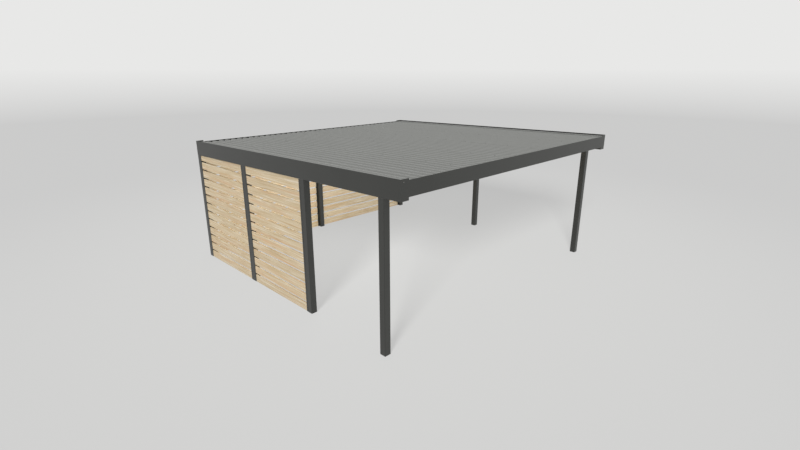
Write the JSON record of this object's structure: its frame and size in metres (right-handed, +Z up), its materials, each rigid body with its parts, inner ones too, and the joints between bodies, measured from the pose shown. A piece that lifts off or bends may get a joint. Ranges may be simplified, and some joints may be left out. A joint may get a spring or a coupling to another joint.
{
  "type": "carport",
  "caption": "Double carport: square steel posts, folded steel roof frame, ribbed sheet roof falling to the back, slatted timber screens on the back and part of the left side.",
  "frame": {"origin": "on the ground under the middle of the roof", "axes": "+X to the right along the open front, +Y from the front to the back, +Z up"},
  "size_m": [5.9, 5.9, 2.62],
  "materials": {
    "steel_frame": "satin anthracite powder coat",
    "roof_sheet": "coated ribbed steel sheet, matt grey",
    "timber_boards": "planed light larch, untreated"
  },
  "bodies": {
    "root": {"back_left_end_cap": "steel_frame", "back_left_far_channel": "steel_frame", "back_left_near_channel": "steel_frame", "back_left_post": "steel_frame", "back_left_screen": "timber_boards", "back_middle_post": "steel_frame", "back_right_end_cap": "steel_frame", "back_right_far_channel": "steel_frame", "back_right_near_channel": "steel_frame", "back_right_post": "steel_frame", "back_right_screen": "timber_boards", "front_beam": "steel_frame", "front_left_end_cap": "steel_frame", "front_left_post": "steel_frame", "front_right_end_cap": "steel_frame", "front_right_post": "steel_frame", "gutter_beam": "steel_frame", "left_back_far_channel": "steel_frame", "left_back_near_channel": "steel_frame", "left_back_screen": "timber_boards", "left_front_far_channel": "steel_frame", "left_front_near_channel": "steel_frame", "left_front_screen": "timber_boards", "left_middle_post": "steel_frame", "left_purlin_cleats": "steel_frame", "left_screen_post": "steel_frame", "left_side_beam": "steel_frame", "purlin_1": "steel_frame", "purlin_2": "steel_frame", "purlin_3": "steel_frame", "purlin_4": "steel_frame", "right_middle_post": "steel_frame", "right_purlin_cleats": "steel_frame", "right_side_beam": "steel_frame", "roof_sheet_1": "roof_sheet", "roof_sheet_2": "roof_sheet", "roof_sheet_3": "roof_sheet", "roof_sheet_4": "roof_sheet", "roof_sheet_5": "roof_sheet"}
  },
  "joints": []
}
